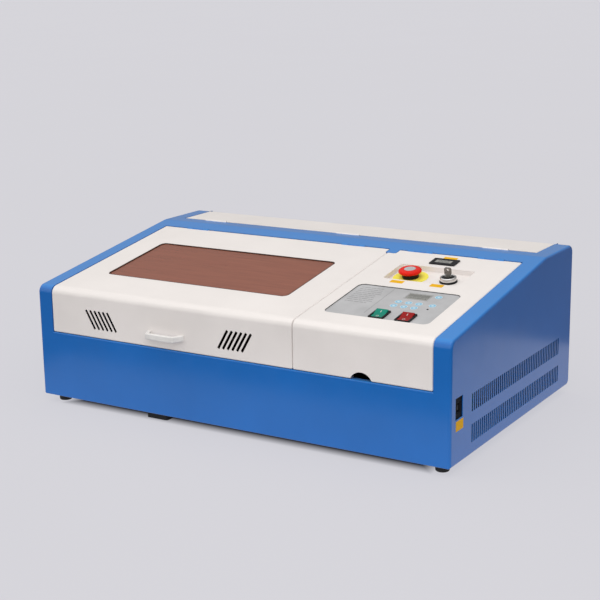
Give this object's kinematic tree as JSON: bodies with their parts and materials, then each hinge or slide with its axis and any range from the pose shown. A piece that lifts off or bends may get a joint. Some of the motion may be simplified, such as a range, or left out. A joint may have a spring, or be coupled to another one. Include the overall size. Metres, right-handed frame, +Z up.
{
  "type": "desktop laser cutter",
  "caption": "Desktop laser cutter: sheet-metal case with hinged lid, control panel and tube cover over an XY gantry, laser head, glass tube and exhaust fan.",
  "frame": {"origin": "on the floor under the middle of the object's bounding box", "axes": "+X to the operator's right along the case, +Y from the front face to the rear, +Z up"},
  "size_m": [0.8, 0.595, 0.2716],
  "materials": {
    "blue_paint": "semi-gloss powder coat, fine texture",
    "white_paint": "semi-gloss powder coat, fine texture",
    "zinc_sheet": "zinc-plated sheet, satin",
    "bright_steel": "ground bright steel",
    "dark_steel": "matt black paint",
    "alloy": "clear anodised, satin",
    "black_plastic": "fine-grained black",
    "foot_rubber": "matt black rubber",
    "belt_rubber": "black toothed belt",
    "tube_glass": "clear borosilicate glass",
    "window_acrylic": "brown tinted acrylic",
    "membrane_grey": "satin grey membrane",
    "key_blue": "satin light blue",
    "stop_red": "gloss red",
    "stop_yellow": "satin yellow",
    "rocker_green": "gloss translucent green",
    "rocker_red": "gloss translucent red",
    "key_steel": "nickel-plated",
    "barb_brass": "turned brass",
    "board_green": "circuit board lacquer"
  },
  "bodies": {
    "case": {"base_tray": "blue_paint", "left_side_panel": "blue_paint", "right_side_panel": "blue_paint", "edge_rims": "blue_paint", "cross_strip": "blue_paint", "rear_panel": "blue_paint", "tube_bay_tray": "zinc_sheet", "electronics_wall": "zinc_sheet", "feet": "foot_rubber", "case_screws": "dark_steel", "laser_tube": "tube_glass", "tube_saddles": "black_plastic", "first_mirror": "alloy", "power_supply": "zinc_sheet", "control_board": "board_green", "mains_inlet": "black_plastic", "hose_barbs": "barb_brass", "exhaust_hood": "dark_steel", "rail_frame": "zinc_sheet", "y_motor": "dark_steel", "y_belts": "belt_rubber", "cutting_bed": "dark_steel", "hinge_brackets": "blue_paint"},
    "exhaust_rotor": {"exhaust_rotor": "black_plastic"},
    "y_drive_shaft": {"y_drive_shaft": "bright_steel"},
    "y_idler_shaft": {"y_idler_shaft": "bright_steel"},
    "gantry": {"gantry_frame": "alloy", "x_rods": "bright_steel", "x_motor": "dark_steel", "x_belt": "belt_rubber"},
    "x_pulley": {"x_pulley": "bright_steel"},
    "x_idler": {"x_idler": "bright_steel"},
    "laser_head": {"laser_head": "alloy"},
    "lid": {"lid_panel": "white_paint", "lid_window": "window_acrylic", "lid_handle": "white_paint", "lid_hinge_leaves": "blue_paint"},
    "panel": {"panel_cover": "white_paint", "panel_hinge_leaves": "blue_paint", "keypad_plate": "membrane_grey", "panel_meter": "black_plastic", "stop_collar": "black_plastic", "stop_disc": "stop_yellow", "key_lock": "black_plastic", "rocker_frames": "black_plastic"},
    "stop_stem": {"stop_stem": "bright_steel"},
    "stop_cap": {"stop_cap": "stop_red"},
    "lock_key": {"lock_key": "key_steel"},
    "green_rocker": {"green_rocker": "rocker_green"},
    "red_rocker": {"red_rocker": "rocker_red"},
    "tube_cover": {"tube_cover": "white_paint", "cover_hinge_leaves": "blue_paint"},
    "power_key": {"power_key": "key_blue"},
    "key_up_left": {"key_up_left": "key_blue"},
    "key_up_middle": {"key_up_middle": "key_blue"},
    "key_up_right": {"key_up_right": "key_blue"},
    "key_low_left": {"key_low_left": "key_blue"},
    "key_low_middle": {"key_low_middle": "key_blue"},
    "key_low_right": {"key_low_right": "key_blue"},
    "test_key": {"test_key": "key_blue"}
  },
  "joints": [
    {"name": "lid_hinge", "type": "hinge", "parent": "case", "child": "lid", "pos_m": [-0.123, 0.06217, 0.2637], "axis": [-1, 0, 0], "range_deg": [0, 100]},
    {"name": "panel_hinge", "type": "hinge", "parent": "case", "child": "panel", "pos_m": [0.247, 0.06217, 0.2637], "axis": [-1, 0, 0], "range_deg": [0, 100]},
    {"name": "tube_cover_hinge", "type": "hinge", "parent": "case", "child": "tube_cover", "pos_m": [0, 0.125, 0.269], "axis": [1, 0, 0], "range_deg": [0, 95]},
    {"name": "gantry_travel", "type": "slide", "parent": "case", "child": "gantry", "axis": [0, -1, 0], "range_m": [0, 0.2]},
    {"name": "head_travel", "type": "slide", "parent": "gantry", "child": "laser_head", "axis": [1, 0, 0], "range_m": [0, 0.3]},
    {"name": "y_drive_turn", "type": "hinge", "parent": "case", "child": "y_drive_shaft", "pos_m": [0, 0.0755, 0.1244], "axis": [1, 0, 0], "range_deg": [-60, 1900]},
    {"name": "y_idler_turn", "type": "hinge", "parent": "case", "child": "y_idler_shaft", "pos_m": [0, -0.2375, 0.1244], "axis": [1, 0, 0], "range_deg": [-60, 1900]},
    {"name": "x_pulley_turn", "type": "hinge", "parent": "gantry", "child": "x_pulley", "pos_m": [0.099, 0.0325, 0.204], "axis": [0, 0, 1], "range_deg": [-60, 2900]},
    {"name": "x_idler_turn", "type": "hinge", "parent": "gantry", "child": "x_idler", "pos_m": [-0.352, 0.0325, 0.204], "axis": [0, 0, 1], "range_deg": [-60, 2900]},
    {"name": "exhaust_fan_spin", "type": "hinge", "parent": "case", "child": "exhaust_rotor", "pos_m": [-0.12, 0.2695, 0.087], "axis": [0, 1, 0], "continuous": true},
    {"name": "stop_push", "type": "slide", "parent": "panel", "child": "stop_stem", "axis": [0, 0.1522, -0.9883], "range_m": [0, 0.004], "stiffness_N_per_m": 900, "springref_m": -0.002},
    {"name": "stop_twist", "type": "hinge", "parent": "stop_stem", "child": "stop_cap", "pos_m": [0.209, -0.03433, 0.25289], "axis": [0, 0.1522, -0.9883], "range_deg": [0, 35], "stiffness_Nm_per_rad": 0.05, "springref_deg": -5.73},
    {"name": "lock_turn", "type": "hinge", "parent": "panel", "child": "lock_key", "pos_m": [0.279, -0.03387, 0.24992], "axis": [0, 0.1522, -0.9883], "range_deg": [0, 90]},
    {"name": "green_rocker_tilt", "type": "hinge", "parent": "panel", "child": "green_rocker", "pos_m": [0.245, -0.2112, 0.22008], "axis": [-1, 0, 0], "range_deg": [0, 20]},
    {"name": "red_rocker_tilt", "type": "hinge", "parent": "panel", "child": "red_rocker", "pos_m": [0.291, -0.2112, 0.22008], "axis": [-1, 0, 0], "range_deg": [0, 20]},
    {"name": "power_key_press", "type": "slide", "parent": "panel", "child": "power_key", "axis": [0, 0.1522, -0.9883], "range_m": [0, 0.0005], "stiffness_N_per_m": 400, "springref_m": -0.0005},
    {"name": "key_up_left_press", "type": "slide", "parent": "panel", "child": "key_up_left", "axis": [0, 0.1522, -0.9883], "range_m": [0, 0.0005], "stiffness_N_per_m": 400, "springref_m": -0.0005},
    {"name": "key_up_middle_press", "type": "slide", "parent": "panel", "child": "key_up_middle", "axis": [0, 0.1522, -0.9883], "range_m": [0, 0.0005], "stiffness_N_per_m": 400, "springref_m": -0.0005},
    {"name": "key_up_right_press", "type": "slide", "parent": "panel", "child": "key_up_right", "axis": [0, 0.1522, -0.9883], "range_m": [0, 0.0005], "stiffness_N_per_m": 400, "springref_m": -0.0005},
    {"name": "key_low_left_press", "type": "slide", "parent": "panel", "child": "key_low_left", "axis": [0, 0.1522, -0.9883], "range_m": [0, 0.0005], "stiffness_N_per_m": 400, "springref_m": -0.0005},
    {"name": "key_low_middle_press", "type": "slide", "parent": "panel", "child": "key_low_middle", "axis": [0, 0.1522, -0.9883], "range_m": [0, 0.0005], "stiffness_N_per_m": 400, "springref_m": -0.0005},
    {"name": "key_low_right_press", "type": "slide", "parent": "panel", "child": "key_low_right", "axis": [0, 0.1522, -0.9883], "range_m": [0, 0.0005], "stiffness_N_per_m": 400, "springref_m": -0.0005},
    {"name": "test_key_press", "type": "slide", "parent": "panel", "child": "test_key", "axis": [0, 0.1522, -0.9883], "range_m": [0, 0.0005], "stiffness_N_per_m": 400, "springref_m": -0.0005}
  ],
  "couplings": [
    {"joint": "y_drive_turn", "follows": "gantry_travel", "rad_per_m": 157.08},
    {"joint": "y_idler_turn", "follows": "gantry_travel", "rad_per_m": 157.08},
    {"joint": "x_pulley_turn", "follows": "head_travel", "rad_per_m": 157.08},
    {"joint": "x_idler_turn", "follows": "head_travel", "rad_per_m": 157.08}
  ]
}
